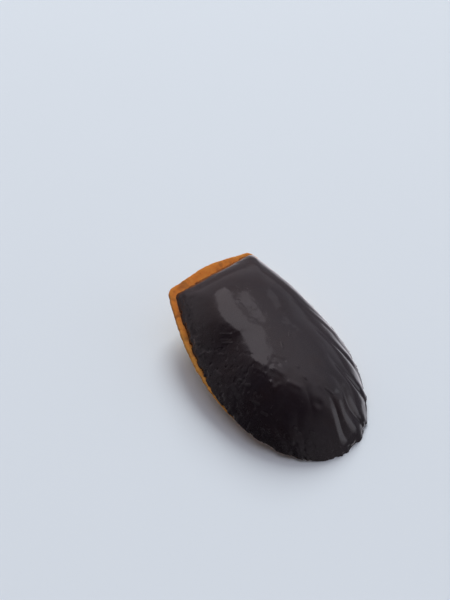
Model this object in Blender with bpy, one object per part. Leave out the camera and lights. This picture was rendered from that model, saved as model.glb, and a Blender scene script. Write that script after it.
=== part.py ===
"""Madeleine: a golden sponge cake baked in a scallop mould, set in a moulded shell of dark chocolate.

Run with: blender --background --python part.py

Frame, in metres: +Z up and +X from the narrow end towards the wide, scalloped end. The cake lies with its
chocolate side up, on the crown of the sponge's hump and on its wide rim. The origin is on the surface that it
lies on, under the middle of its bounding box.

Both pieces are lofted in the rim frame: the plane of the shell's edge is z = 0, the chocolate is above it and
the hump below it. lay_down then tilts them into the resting pose.
"""

import math

import bmesh
import bpy
from mathutils import Matrix, Vector

# Smooth outline of the chocolate shell's edge, through the middle of its scallops
SHELL_LENGTH = 0.0780
SHELL_WIDTH = 0.0477
FULLER_SIDE = 0.0009
NARROW_EDGE = 0.0318
NARROW_SLANT = 0.045
WIDEST_FROM_NARROW_END = 0.0407
SIDE_BOW_POWER = 1.70
WIDE_END_POWER = 2.0
CORNER_RADIUS = 0.0018
ROUNDING_SPAN = 13
ROUNDING_POWER = 3.0

# Height of the shell over the plane of its edge
CROWN_X = -0.0060
CROWN_HEIGHT = 0.0134
SIDE_POWER = 2.2
WIDE_POWER = 3.4
NARROW_POWER = 4.0
WALL_SHARE = 0.05
WALL_REACH = 0.0024
WALL_SHOULDER = 0.0004

# Flutes that fan out from behind the narrow edge, crisp towards +Y and soft towards -Y
FAN_X = -0.0480
FAN_TURN = math.radians(-0.6)
FLUTE_PITCH = math.radians(4.55)
FLUTE_RELIEF = 0.00095
FLUTE_SOFTNESS = 0.15
FLUTE_MIDDLE = 0.50
FLUTE_START = 0.35
FLUTE_FULL = 0.95
FLUTE_X_START = -0.0260
FLUTE_X_FULL = 0.0120
FLUTE_SOFT_SHARE = 0.30
FLUTE_SOFT_Y = -0.0080
FLUTE_CRISP_Y = 0.0060

# Chocolate and the sponge inside it
CHOCOLATE = 0.0014
GAP = 0.00035

# Baked lip of the sponge. It stands out most round one corner of the narrow end and dies away along the -Y side
LIP_RISE = (math.radians(136.0), math.radians(184.0))
LIP_END_X = 0.0210
LIP_LEAST_OVERHANG = -0.0009
LIP_MORE_OVERHANG = 0.0039
LIP_BOW = 0.0012
LIP_BOW_POWER = 16
LIP_LEAST_DROP = 0.0005
LIP_MORE_DROP = 0.0017
LIP_MIDDLE_DROP = 0.0017
LIP_ROUND = 0.0006

# Hump that rises on the baked side
HUMP_X = -0.0120
HUMP_Y = -0.0007
HUMP_HALF_LENGTH = 0.0255
HUMP_HALF_WIDTH = 0.0200
HUMP_HEIGHT = 0.0084
HUMP_POWER = 2.0
HUMP_FOOT_POWER = 1.4

# The cake sinks this far into the surface, which leaves small flat spots where it rests
FLAT_DEPTH = 0.0004
REST_SPLIT_X = 0.0260
STEEPEST_TILT = math.radians(30.0)

# Colours and roughness
CHOCOLATE_COLOUR = (0.030, 0.018, 0.014)
CHOCOLATE_ROUGHNESS = 0.32
CRUST_COLOUR = (0.62, 0.30, 0.09)
CRUST_ROUGHNESS = 0.75

# Fineness of the meshes, and of what is found by halving a range
HALVINGS = 40
SLOPE_STEP = 0.01
SEGMENTS = 144
WIDE_END_CROWDING = 0.35
SKIN_RINGS = (0.14, 0.30, 0.45, 0.60, 0.73, 0.84, 0.92, 0.97, 1.0)
NEST_RINGS = (0.25, 0.50, 0.73, 0.90, 1.0)
HUMP_RINGS = (0.93, 0.82, 0.70, 0.58, 0.46, 0.34, 0.22, 0.11)


def segment_angle(segment):
    """Angle about +Z of a segment, with the segments closer together round the wide end."""
    even = 2 * math.pi * segment / SEGMENTS
    return even - WIDE_END_CROWDING * math.sin(even)


def half_width(x, y):
    """Distance from the x axis to the outline at x, on the side where y is, without the rounded corners."""
    widest = SHELL_WIDTH / 2 - math.copysign(FULLER_SIDE, y)
    x_widest = WIDEST_FROM_NARROW_END - SHELL_LENGTH / 2
    if x > x_widest:
        along = min((x - x_widest) / (SHELL_LENGTH / 2 - x_widest), 1.0)
        return widest * math.sqrt(1.0 - along**WIDE_END_POWER)
    along = (x_widest - x) / WIDEST_FROM_NARROW_END
    return widest - (widest - NARROW_EDGE / 2) * along**SIDE_BOW_POWER


def is_inside(x, y):
    """Whether a point of the rim plane lies inside the smooth outline."""
    width = half_width(x, y)
    into_corner = CORNER_RADIUS - (x + SHELL_LENGTH / 2)
    if into_corner > 0:
        width -= CORNER_RADIUS - math.sqrt(max(0.0, CORNER_RADIUS**2 - into_corner**2))
    return abs(y) < width and abs(x) < SHELL_LENGTH / 2


def outline_radius(angle):
    """Distance from the crown's axis to the smooth outline, in the direction of an angle about +Z."""
    inside, outside = 0.0, SHELL_LENGTH
    for _ in range(HALVINGS):
        middle = (inside + outside) / 2
        if is_inside(CROWN_X + middle * math.cos(angle), middle * math.sin(angle)):
            inside = middle
        else:
            outside = middle
    return inside


def rounded_radius(segment):
    """Mean of the outline's radii near a segment, which has no corners."""
    span = range(segment - ROUNDING_SPAN, segment + ROUNDING_SPAN + 1)
    return sum(OUTLINE[k % SEGMENTS] for k in span) / len(span)


ANGLES = [segment_angle(segment) for segment in range(SEGMENTS)]
OUTLINE = [outline_radius(angle) for angle in ANGLES]
ROUNDED = [rounded_radius(segment) for segment in range(SEGMENTS)]


def reach_at(rho, segment, edge):
    """Distance from the crown's axis at a share rho of the way out. The inner rings are rounder."""
    return rho * (ROUNDED[segment] + (edge - ROUNDED[segment]) * rho**ROUNDING_POWER)


def soft_step(value):
    """About 0 below zero and about value above it, with a rounded turn as wide as WALL_SHOULDER."""
    return WALL_SHOULDER * math.log1p(math.exp(value / WALL_SHOULDER))


def crown_share(rho, segment):
    """Height of the shell at a share rho of the way out to its edge, as a share of CROWN_HEIGHT."""
    along = math.cos(ANGLES[segment])
    end_power = WIDE_POWER if along > 0 else NARROW_POWER
    power = SIDE_POWER + (end_power - SIDE_POWER) * along**2
    from_edge = (1.0 - rho) * OUTLINE[segment]
    wall = 1.0 - soft_step(WALL_REACH - from_edge) / soft_step(WALL_REACH)
    return WALL_SHARE * wall + (1.0 - WALL_SHARE) * (1.0 - rho**power)


def smoothstep(low, high, value):
    """0 below low, 1 above high, and a smooth rise between them."""
    t = min(max((value - low) / (high - low), 0.0), 1.0)
    return t * t * (3.0 - 2.0 * t)


def flute_height(x, y, rho):
    """Height of the fluting over the smooth surface: above it on a rib and below it in a groove."""
    turn = (math.atan2(y, x - FAN_X) - FAN_TURN) / FLUTE_PITCH
    rib = math.sqrt(math.cos(math.pi * turn) ** 2 + FLUTE_SOFTNESS**2) - FLUTE_SOFTNESS - FLUTE_MIDDLE
    strength = smoothstep(FLUTE_START, FLUTE_FULL, rho) * smoothstep(FLUTE_X_START, FLUTE_X_FULL, x)
    crisp = FLUTE_SOFT_SHARE + (1.0 - FLUTE_SOFT_SHARE) * smoothstep(FLUTE_SOFT_Y, FLUTE_CRISP_Y, y)
    return FLUTE_RELIEF * strength * crisp * rib


def skin_point(rho, segment, inset=0.0):
    """Point of the shell's smooth surface, or of the like surface that lies an inset inside it."""
    reach = reach_at(rho, segment, OUTLINE[segment]) - inset * rho
    height = (CROWN_HEIGHT - inset) * crown_share(rho, segment)
    angle = ANGLES[segment]
    return Vector((CROWN_X + reach * math.cos(angle), reach * math.sin(angle), height))


def fluted_point(rho, segment):
    """Point of the shell's outer surface, which its flutes raise square to the smooth surface."""
    run = OUTLINE[segment] * SLOPE_STEP
    fall = CROWN_HEIGHT * (crown_share(rho - SLOPE_STEP, segment) - crown_share(rho, segment))
    rise = 0.0 if rho == 1.0 else run
    angle = ANGLES[segment]
    outward = Vector((fall * math.cos(angle), fall * math.sin(angle), rise)).normalized()
    point = skin_point(rho, segment)
    return point + outward * flute_height(point.x, point.y, rho)


def lip_share(segment):
    """How strongly the lip stands out at a segment, from 0 to 1."""
    along = (LIP_END_X - fluted_point(1.0, segment).x) / (LIP_END_X + SHELL_LENGTH / 2)
    return smoothstep(*LIP_RISE, ANGLES[segment]) * min(max(along, 0.0), 1.0)


def lip_drop(segment):
    """How far below the plane of the shell's edge the lip reaches at a segment."""
    return LIP_LEAST_DROP + LIP_MORE_DROP * lip_share(segment)


def lip_point(segment, inward, down):
    """Point of the lip: inward from its outermost reach, and down from the plane of the shell's edge."""
    edge = fluted_point(1.0, segment)
    angle = ANGLES[segment]
    bow = LIP_BOW * max(0.0, -math.cos(angle)) ** LIP_BOW_POWER
    reach = LIP_LEAST_OVERHANG + LIP_MORE_OVERHANG * lip_share(segment) + bow - inward
    return Vector((edge.x + reach * math.cos(angle), edge.y + reach * math.sin(angle), -down))


def baked_point(rho, segment):
    """Point of the baked side at a share rho of the way out to the lip, with the hump in its middle."""
    rim = lip_point(segment, LIP_ROUND, lip_drop(segment))
    reach = reach_at(rho, segment, math.hypot(rim.x - CROWN_X, rim.y))
    x = CROWN_X + reach * math.cos(ANGLES[segment])
    y = reach * math.sin(ANGLES[segment])
    out = math.hypot((x - HUMP_X) / HUMP_HALF_LENGTH, (y - HUMP_Y) / HUMP_HALF_WIDTH)
    hump = max(0.0, 1.0 - out**HUMP_POWER) ** HUMP_FOOT_POWER
    drop = LIP_MIDDLE_DROP + (lip_drop(segment) - LIP_MIDDLE_DROP) * rho**2
    return Vector((x, y, -drop - HUMP_HEIGHT * hump))


def ring_of(point_at):
    """Ring of points, one for each segment."""
    return [point_at(segment) for segment in range(SEGMENTS)]


def askew(point):
    """The point, moved along x so that the narrow end lies slightly askew."""
    share = min(max((CROWN_X - point.x) / (CROWN_X + SHELL_LENGTH / 2), 0.0), 1.0)
    return point - Vector((NARROW_SLANT * point.y * share**2, 0.0, 0.0))


def lofted_mesh(name, rings, first_pole, last_pole):
    """Closed mesh through rings of SEGMENTS points each, with a pole at both ends."""
    mesh = bmesh.new()
    loops = [[mesh.verts.new(askew(point)) for point in ring] for ring in rings]
    first, last = mesh.verts.new(first_pole), mesh.verts.new(last_pole)
    for k in range(SEGMENTS):
        following = (k + 1) % SEGMENTS
        for inner, outer in zip(loops, loops[1:]):
            mesh.faces.new((inner[k], outer[k], outer[following], inner[following]))
        mesh.faces.new((first, loops[0][k], loops[0][following]))
        mesh.faces.new((last, loops[-1][following], loops[-1][k]))
    data = bpy.data.meshes.new(name)
    mesh.to_mesh(data)
    mesh.free()
    return data


def chocolate_mesh():
    """Moulded shell of even thickness, open towards the sponge."""
    rings = [ring_of(lambda k, rho=rho: fluted_point(rho, k)) for rho in SKIN_RINGS]
    rings += [ring_of(lambda k, rho=rho: skin_point(rho, k, CHOCOLATE)) for rho in reversed(NEST_RINGS)]
    top = Vector((CROWN_X, 0.0, CROWN_HEIGHT))
    return lofted_mesh("chocolate_shell", rings, top, top - Vector((0.0, 0.0, CHOCOLATE)))


def sponge_mesh():
    """Sponge that fills the shell, with its baked lip and its hump."""
    inset = CHOCOLATE + GAP
    rings = [ring_of(lambda k, rho=rho: skin_point(rho, k, inset)) for rho in NEST_RINGS]
    rings.append(ring_of(lambda k: skin_point(1.0, k, inset) - Vector((0.0, 0.0, GAP))))
    rings.append(ring_of(lambda k: lip_point(k, LIP_ROUND / 2, GAP)))
    rings.append(ring_of(lambda k: lip_point(k, 0.0, lip_drop(k) / 2)))
    rings.append(ring_of(lambda k: lip_point(k, LIP_ROUND, lip_drop(k))))
    rings += [ring_of(lambda k, rho=rho: baked_point(rho, k)) for rho in HUMP_RINGS]
    top = Vector((CROWN_X, 0.0, CROWN_HEIGHT - inset))
    return lofted_mesh("sponge", rings, top, baked_point(0.0, 0))


def rest_tilt(sponge):
    """Tilt about +Y that brings the hump and the wide rim equally low."""
    points = [vertex.co for vertex in sponge.vertices]
    low, high = 0.0, STEEPEST_TILT
    for _ in range(HALVINGS):
        tilt = (low + high) / 2
        heights = [(point.x, point.z * math.cos(tilt) - point.x * math.sin(tilt)) for point in points]
        rim = min(height for x, height in heights if x > REST_SPLIT_X)
        hump = min(height for x, height in heights if x <= REST_SPLIT_X)
        if rim > hump:
            low = tilt
        else:
            high = tilt
    return tilt


def lay_down(shell, sponge):
    """Tilts both meshes onto the hump and the wide rim, over the origin and FLAT_DEPTH into the surface."""
    turn = Matrix.Rotation(rest_tilt(sponge), 4, "Y")
    for data in (shell, sponge):
        data.transform(turn)
    points = [vertex.co for data in (shell, sponge) for vertex in data.vertices]
    middle_x = (min(point.x for point in points) + max(point.x for point in points)) / 2
    middle_y = (min(point.y for point in points) + max(point.y for point in points)) / 2
    lowest = min(point.z for point in points)
    for data in (shell, sponge):
        data.transform(Matrix.Translation((-middle_x, -middle_y, -lowest - FLAT_DEPTH)))
        for vertex in data.vertices:
            vertex.co.z = max(vertex.co.z, 0.0)


def add_piece(data, colour, roughness):
    """Puts a mesh in the scene with a material of its own."""
    material = bpy.data.materials.new(f"{data.name}_look")
    material.use_nodes = True
    shader = material.node_tree.nodes["Principled BSDF"]
    shader.inputs["Base Color"].default_value = (*colour, 1.0)
    shader.inputs["Roughness"].default_value = roughness
    shader.inputs["Metallic"].default_value = 0.0
    data.materials.append(material)
    data.shade_smooth()
    data.set_sharp_from_angle(angle=math.radians(50.0))
    bpy.context.scene.collection.objects.link(bpy.data.objects.new(data.name, data))


def main():
    for old in list(bpy.data.objects):
        bpy.data.objects.remove(old)
    shell, sponge = chocolate_mesh(), sponge_mesh()
    lay_down(shell, sponge)
    add_piece(shell, CHOCOLATE_COLOUR, CHOCOLATE_ROUGHNESS)
    add_piece(sponge, CRUST_COLOUR, CRUST_ROUGHNESS)


main()
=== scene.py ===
"""Looks of a chocolate madeleine: a chocolate case and a baked sponge, with a table, lights and a camera.

The cake is made in the rim frame, as in the part's source: +X from the narrow end to the wide one, +Z up
through the chocolate, z = 0 in the plane of the case's edge, and metres where nothing else is said. lie_down
then sets the narrow end askew, tilts the cake and brings it to the place of the plain solids.
"""

import math

import bpy
import numpy as np
from bpy.props import FloatProperty, FloatVectorProperty, IntProperty, PointerProperty
from bpy.types import Operator, Panel, PropertyGroup
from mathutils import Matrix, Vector, noise


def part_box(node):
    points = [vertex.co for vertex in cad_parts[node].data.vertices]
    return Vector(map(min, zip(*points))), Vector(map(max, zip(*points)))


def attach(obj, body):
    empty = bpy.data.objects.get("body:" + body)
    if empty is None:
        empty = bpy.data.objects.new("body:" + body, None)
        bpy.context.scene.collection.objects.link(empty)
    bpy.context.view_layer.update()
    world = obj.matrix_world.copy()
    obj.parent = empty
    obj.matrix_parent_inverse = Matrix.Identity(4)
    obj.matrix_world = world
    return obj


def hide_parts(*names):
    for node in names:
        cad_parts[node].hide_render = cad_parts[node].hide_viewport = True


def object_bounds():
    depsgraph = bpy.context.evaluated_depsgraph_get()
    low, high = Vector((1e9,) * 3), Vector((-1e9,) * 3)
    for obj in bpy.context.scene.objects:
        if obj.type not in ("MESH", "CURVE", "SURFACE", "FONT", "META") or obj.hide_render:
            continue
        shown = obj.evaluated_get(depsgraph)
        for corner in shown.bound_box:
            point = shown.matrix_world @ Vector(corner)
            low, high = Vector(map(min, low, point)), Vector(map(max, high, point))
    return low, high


bl_info = {
    "name": "Chocolate madeleine",
    "version": (1, 0, 0),
    "blender": (4, 5, 0),
    "location": "View3D > Sidebar > Madeleine",
    "description": "Makes a madeleine in a chocolate case, its table and its lights",
    "category": "Object",
}

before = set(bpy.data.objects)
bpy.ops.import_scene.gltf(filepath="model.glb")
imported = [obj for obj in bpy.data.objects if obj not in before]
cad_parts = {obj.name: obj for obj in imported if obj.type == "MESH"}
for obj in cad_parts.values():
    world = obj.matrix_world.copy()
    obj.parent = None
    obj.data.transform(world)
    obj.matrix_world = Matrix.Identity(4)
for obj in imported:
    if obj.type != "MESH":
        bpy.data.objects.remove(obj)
CAD_LOW, CAD_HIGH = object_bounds()
MM = 0.001

# Smooth outline of the case's edge
FULLER_SIDE = 0.9 * MM
NARROW_SLANT = 0.045
WIDEST_FROM_NARROW_END = 40.7 * MM
SIDE_BOW_POWER = 1.70
WIDE_END_POWER = 2.0
CORNER_RADIUS = 1.8 * MM
ROUNDING_SHARE = 13 / 144
ROUNDING_POWER = 3.0
WIDE_END_CROWDING = 0.35
HALVINGS = 40

# Height of the case over the plane of its edge
CROWN_X = -6.0 * MM
SIDE_POWER = 2.2
WIDE_POWER = 3.4
NARROW_POWER = 4.0
CROWN_SHARE = 0.6
WALL_SHARE = 0.05
WALL_REACH = 2.4 * MM
WALL_SHOULDER = 0.4 * MM
SLOPE_STEP = 0.01
EDGE_TURN = 0.03

# Flutes that fan out from behind the narrow edge
FAN_X = -48.0 * MM
FAN_TURN = math.radians(-0.6)
FLUTE_PITCH = math.radians(4.55)
FLUTE_SOFTNESS = 0.15
FLUTE_MIDDLE = 0.50
FLUTE_START = 0.35
FLUTE_FULL = 0.95
FLUTE_X_START = -8.0 * MM
FLUTE_X_FULL = 26.0 * MM
FLUTE_FAINT = 0.12
FLUTE_FAINT_FROM = (-28.0 * MM, -8.0 * MM)
FLUTE_WAVE = 0.16
FLUTE_WAVE_X = 2.6 * MM
FLUTE_WAVE_Y = 5.0 * MM
FLUTE_WAVE_SWING = 3.0
FLUTE_SOFT_SHARE = 0.30
FLUTE_SOFT_Y = -5.0 * MM
FLUTE_CRISP_Y = 7.0 * MM

# The case's thickness and its edge, which hangs a skirt below the rim's plane
CHOCOLATE = 1.4 * MM
SKIRT = 0.15 * MM
RAGGED_SKIRT = 0.10 * MM
EDGE_ROUND = 0.18 * MM

# Chips of the edge: how deep, how far up the wall, and where the ragged noise makes them
CHIP_DEPTH = 0.45 * MM
CHIP_FROM = (-0.05, 0.45)
CHIP_REACH = 1.3 * MM
CHIP_REACH_MIDDLE = 0.8
CHIP_REACH_SWING = 0.9
CHIP_REACH_ENDS = (0.3, 1.6)

# Baked lip of the sponge, which stands out most round one corner and dies away along the -Y side
LIP_RISE = (math.radians(136.0), math.radians(184.0))
LIP_END_X = 21.0 * MM
LIP_LEAST_OVERHANG = -0.9 * MM
LIP_BOW = 1.2 * MM
LIP_BOW_POWER = 16
LIP_LEAST_DROP = 0.5 * MM
LIP_MORE_DROP = 1.7 * MM
LIP_MIDDLE_DROP = 1.7 * MM
LIP_ROUND = 0.6 * MM
SPONGE_INSET = 1.3 * MM

# Hump of the baked side
HUMP_X = -12.0 * MM
HUMP_Y = -0.7 * MM
HUMP_HALF_LENGTH = 25.5 * MM
HUMP_HALF_WIDTH = 20.0 * MM
HUMP_POWER = 2.0
HUMP_FOOT_POWER = 1.4

# Rings of the meshes, from pole to pole, and of the gauge that the cake is placed by
CASE_RINGS = 110
CASE_CROWDING = 1.25
EDGE_STEPS = 5
NEST_RINGS = 9
NEST_FIRST = 0.12
LIP_STEPS = (0.35, 0.7)
BEAD_STEPS = 13
BAKED_RINGS = 96
BAKED_SPAN = 0.985
GAUGE_RINGS = 60
GAUGE_FIRST = 0.02

# Noise of the relief: how far a seed shifts it, and how its octaves fade and shrink
SEED_STEP = (7.31, 3.17, 5.83)
LUMP_FADE = 1.0
LUMP_RATIO = 2.0
SHORTEST_NORMAL = 1e-12

# Lumps of a surface: size, seed and octaves
RAGGED_LUMPS = (2.7 * MM, 3, 4)
CHIP_LUMPS = (1.6 * MM, 9, 2)
WIDE_LUMPS = (9.0 * MM, 1, 2)
RIPPLE_LUMPS = (3.0 * MM, 2, 2)
WORN_LUMPS = (2.3 * MM, 6, 3)
EDGE_LUMPS = (2.6 * MM, 8, 2)
PIT_LUMPS = (2.1 * MM, 7, 2)
WRINKLE_LUMPS = (2.4 * MM, 21, 3)
BAKED_LUMPS = (9.0 * MM, 22, 4)
CRUMB_LUMPS = (1.1 * MM, 23, 2)

# Heights of the relief, and those from which a scuff has its full colour and a pore its full painted shade
WIDE_HEIGHT = 0.06 * MM
RIPPLE_HEIGHT = 0.030 * MM
WORN_HEIGHT = 0.07 * MM
EDGE_HEIGHT = 0.05 * MM
PIT_DEPTH = 0.16 * MM
PIT_FROM = (0.30, 0.52)
WRINKLE_HEIGHT = 0.20 * MM
BAKED_HEIGHT = 0.40 * MM
CRUMB_HEIGHT = 0.07 * MM
FULL_SCUFF = 0.10 * MM
FULL_PORE = 0.25 * MM

# Rubbed patch of the case, in millimetres
RUBBED_CENTRE = (2.0, -19.0)
RUBBED_SPREAD = (20.0, 5.5)

# Zone by the case's edge, in shares of the way out, and where along y it is worn
EDGE_ZONE = (0.80, 0.96)
WORN_Y = (4.0 * MM, -6.0 * MM)

# Rim of the sponge, in millimetres from its tip
RIM_BREADTH = 3.0
PORES_FROM_RIM = (1.0, 3.0)

# Strokes on the case, in millimetres: start x, start y, end x, end y, half width, height
MOULD_STROKES = (
    (-24.0, -6.0, 4.0, -9.6, 3.2, 0.06),
    (1.5, -10.6, 5.0, -8.8, 1.0, 0.09),
    (5.6, -8.0, 6.8, -6.0, 0.8, -0.07),
    (4.5, -5.5, 7.0, -3.5, 0.9, -0.07),
    (7.0, -7.4, 10.0, -6.2, 1.0, 0.10),
    (10.5, -10.5, 12.5, -11.0, 0.7, 0.10),
    (12.5, -11.0, 12.5, -9.0, 0.7, 0.09),
    (13.5, -6.0, 16.5, -4.0, 0.8, 0.09),
    (19.0, 1.5, 23.0, 2.5, 0.9, 0.05),
)
SCUFFS = (
    (-31.5, -15.8, -28.0, -16.4, 0.28, 0.10),
    (-15.2, -21.8, -12.8, -22.0, 0.35, 0.15),
    (-12.8, -22.0, -12.2, -20.8, 0.30, 0.15),
    (-12.2, -20.8, -10.2, -21.2, 0.35, 0.15),
    (-14.0, -20.2, -11.5, -19.6, 0.40, -0.13),
    (-22.5, -19.2, -19.0, -19.4, 0.50, -0.15),
    (-17.0, -20.8, -15.8, -20.2, 0.40, 0.12),
    (-4.6, -21.2, -2.0, -20.8, 0.35, 0.11),
    (-13.0, -14.5, -10.5, -12.0, 0.26, 0.06),
    (-11.5, -15.2, -9.5, -13.0, 0.26, -0.05),
    (-10.0, -15.3, -8.0, -13.2, 0.26, 0.06),
    (3.4, -17.6, 4.8, -16.6, 0.35, 0.10),
    (6.0, -16.8, 7.0, -16.0, 0.35, 0.11),
    (3.2, -19.9, 7.2, -20.2, 0.45, 0.09),
    (11.6, -17.6, 13.4, -16.8, 0.35, 0.08),
    (15.8, -17.2, 17.4, -16.4, 0.35, 0.08),
    (29.0, -7.8, 29.8, -7.0, 0.25, 0.12),
    (25.3, -11.4, 25.8, -11.0, 0.25, 0.14),
    (27.0, -11.0, 27.6, -10.6, 0.25, 0.12),
    (-1.0, 4.0, 0.5, 3.0, 0.20, 0.10),
    (1.3, -0.6, 2.8, -1.2, 0.28, 0.09),
    (10.4, -0.9, 11.0, -0.7, 0.40, 0.09),
    (14.6, -0.9, 15.2, -0.7, 0.40, 0.09),
    (20.6, 3.2, 22.6, 4.2, 0.40, 0.08),
)

# Round dimples and one blob on the case, in millimetres: x, y, radius, height
DIMPLES = ((23.6, -1.5, 1.3, -0.20), (23.6, 5.8, 1.1, -0.14), (-19.0, -3.7, 0.5, 0.06))

# Loose scuffs round the rubbed patch, in millimetres
SCUFF_SEED = 11
LOOSE_SCUFFS = 40
LOOSE_SPREAD = (14.0, 5.0)
LOOSE_LENGTH = (0.3, 1.1)
LOOSE_HALF_WIDTH = (0.22, 0.34)
LOOSE_HEIGHT = (0.01, 0.05)

# Pores of the baked side, in millimetres. Most are near the least radius
PORE_SEED = 5
PORES = 55
PORE_FIELD = (34.0, 20.0)
PORE_RADIUS = 0.22
PORE_MORE_RADIUS = 0.34
PORE_RARITY = 4
PORE_DEPTH = (0.10, 0.35)

# Noises of the finishes: size of the lumps, detail and roughness
CLOUDS = (9.0 * MM, 4.0, 0.6)
DRY_PATCHES = (3.2 * MM, 5.0, 0.7)
SPECKS = (0.8 * MM, 4.0, 0.75)
FINE_GRAIN = (1.3 * MM, 4.0, 0.65)
FINEST_GRAIN = (0.45 * MM, 2.0, 0.55)
MOTTLE = (4.5 * MM, 5.0, 0.62)
BROAD_PATCHES = (11.0 * MM, 3.0, 0.5)
BROWN_PATCHES = (7.0 * MM, 4.0, 0.6)
STREAKS = (2.2 * MM, 4.0, 0.7)
CRUMB = (0.9 * MM, 5.0, 0.7)
FINEST_CRUMB = (0.35 * MM, 3.0, 0.55)
TABLE_CLOUDS = (0.12, 2.0, 0.5)
TABLE_GRAIN = (1.5 * MM, 2.0, 0.5)
BACKDROP_CLOUDS = (0.6, 2.0, 0.5)

# Chocolate: where a patch starts and is full, how much of it shows, and what makes the surface rougher
BROWN_CLOUDS_FROM = (0.35, 0.75)
BROWN_IN_CLOUDS = 0.5
NARROW_END_FROM = (-0.10, 0.48)
BROWN_AT_NARROW_END = 0.4
DRY_FROM = (0.50, 0.72)
DRY_ANYWHERE = 0.25
DRY_WHERE_RUBBED = 0.45
SPECKS_FROM = (0.56, 0.70)
SPECKS_IN_CLOUDS = (0.42, 0.62)
SPECKS_ANYWHERE = 0.15
SPECKS_WHERE_RUBBED = 0.5
SCUFF_GRAIN_FROM = (0.35, 0.65)
GREY_IN_SCUFFS = 0.6
ROUGH_CLOUDS_FROM = (0.3, 0.8)
ROUGHER_IN_CLOUDS = 0.06
ROUGHER_WHERE_DRY = 0.05
ROUGHER_WHERE_RUBBED = 0.13
ROUGHER_IN_SPECKS = 0.12
CHOCOLATE_IOR = 1.5
CHOCOLATE_BUMP = 0.008 * MM
FINE_HEIGHT = 0.6
FINEST_HEIGHT = 0.3

# Sponge: where a patch starts and is full, and how much of it shows
PALE_FROM = (0.0, 0.8)
PALE_WAVER = 0.5
PALE_BROAD_WAVER = 0.9
SIDE_FROM = (-0.42, -0.20)
GOLD_ALONG_SIDE = 0.5
GOLD_BY_TIP = 0.35
STREAKS_FROM = (0.42, 0.62)
GOLD_IN_STREAKS = 0.3
PATCHES_FROM = (0.50, 0.68)
PATCHES_ON_HUMP = (0.02, 0.3)
BROWN_IN_PATCHES = 0.7
LESS_WHERE_PALE = 0.6
WRINKLES_FROM = (0.05, 0.7)
# Painted shade: how much of it shows in the wrinkle hollows, the pores and the small pores
SHADE_IN_WRINKLES = 0.55
SHADE_IN_PORES = 0.45
SMALL_PORE_SPACING = 2.3 * MM
SMALL_PORE_EDGE = (0.03, 0.09)
SMALL_PORES_IN_MOTTLE = (0.4, 0.6)
SHADE_IN_SMALL_PORES = 0.3
CRUMB_TINTS = ((0.86, 0.84, 0.80), (1.0, 1.0, 1.0))
ROUGHER_IN_CRUMB = 0.12
SPONGE_IOR = 1.35
SPONGE_BUMP = 0.16 * MM
FINEST_CRUMB_HEIGHT = 0.5
SMALL_PORE_HEIGHT = 1.2
PORE_HEIGHT = 0.5

# Zones of the rim's colours, in millimetres from its tip, negative on its upper side
BROWN_ZONE = (1.0, 6.2)
BROWN_WAVER = 4.0
UPPER_SIDE = (-1.0, 0.0)
BY_TIP = (-1.9, -0.6)

# Table, backdrop and camera, which is turned by degrees and has a sensor in millimetres
TABLE_DARKER = 0.985
TABLE_ROUGHNESS = 0.85
TABLE_BUMP = 0.01 * MM
BACKDROP_DARKER = 0.99
TABLE_RADIUS = 1.6
TABLE_SIDES = 128
CAMERA_PLACE = (0.152685, -0.101882, 0.242505)
CAMERA_TURN = (41.609, 2.747, 57.409)
SENSOR_WIDTH = 36.0
CLIP_START = 0.01

# Lamp behind the cake, which its gloss doesn't show
KEY_FROM = (-0.58, 0.46, 0.60)
KEY_DISTANCE = 4.0
KEY_SIZE = 2.0
KEY_COLOUR = (1.0, 0.99, 0.97)
KEY_WATTS = 132.0

# The room, by the direction from the cake: its lit half, and where a level starts and is full along an axis
BRIGHT_HALF = (-0.599, 0.797, -0.076)
BRIGHT_FROM = (-0.40, 0.24)
CEILING_FROM = (0.57, 1.27)
WALL_FOOT = 0.42
WALL_FROM = (0.0, 0.18)
FAR_WALL = 0.12
FAR_FROM = (0.90, 0.99)
LOW_LIGHT = 0.85
LOW_FROM = (0.25, 0.55)
NARROW_LIGHTS = ((0.17, 0.0, 0.4), (0.16, 0.45, 0.85))
WIDE_LIGHT = 0.26
WIDE_FROM = (0.5, 0.95)
DOORWAY = (0.65, 0.70, 0.28)
DOORWAY_FROM = (0.93, 0.98)
ROOM_TINTS = ((1.0, 0.93, 0.99), (0.96, 0.96, 1.05))
TINT_FROM = (0.3, 0.9)

# What stands high in the room: ends along x and y, with soft borders. The slant cuts the wide pane's corner
PANE_BORDER = 0.02
PANES_ABOVE = (0.3, 0.4)
WIDE_PANE = ((-0.82, -0.05), (-0.33, 0.19))
SLIM_PANE = ((-0.46, -0.24), (0.255, 0.355))
PANE_SLANT = (0.84, 0.54, 0.0)
PANE_SLANT_FROM = -0.66
CORNICE = ((-0.36, -0.24), (0.56, 0.70))
CORNICE_LIGHT = 0.3


# ---------------------------------------------------------------- settings


class CakeForm(PropertyGroup):
    """Main sizes of the cake."""

    length: FloatProperty(
        name="Length", description="Length of the case's edge", default=0.078, unit="LENGTH"
    )
    width: FloatProperty(
        name="Width", description="Width of the case's edge", default=0.0477, unit="LENGTH"
    )
    narrow_edge: FloatProperty(
        name="Narrow edge", description="Width of the straight narrow end", default=0.0318, unit="LENGTH"
    )
    crown: FloatProperty(
        name="Crown", description="Height of the case over its edge", default=0.0134, unit="LENGTH"
    )
    flutes: FloatProperty(
        name="Flutes", description="Height of a flute from groove to rib", default=0.00065, unit="LENGTH"
    )
    lip: FloatProperty(
        name="Lip",
        description="How much further the sponge stands out at one corner",
        default=0.0039,
        unit="LENGTH",
    )
    hump: FloatProperty(
        name="Hump", description="Height of the hump on the baked side", default=0.0084, unit="LENGTH"
    )
    tilt: FloatProperty(
        name="Tilt", description="Tilt at rest", default=math.radians(11.5668), unit="ROTATION"
    )
    segments: IntProperty(
        name="Segments", description="Points in each ring of a mesh", default=720, min=72
    )


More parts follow.
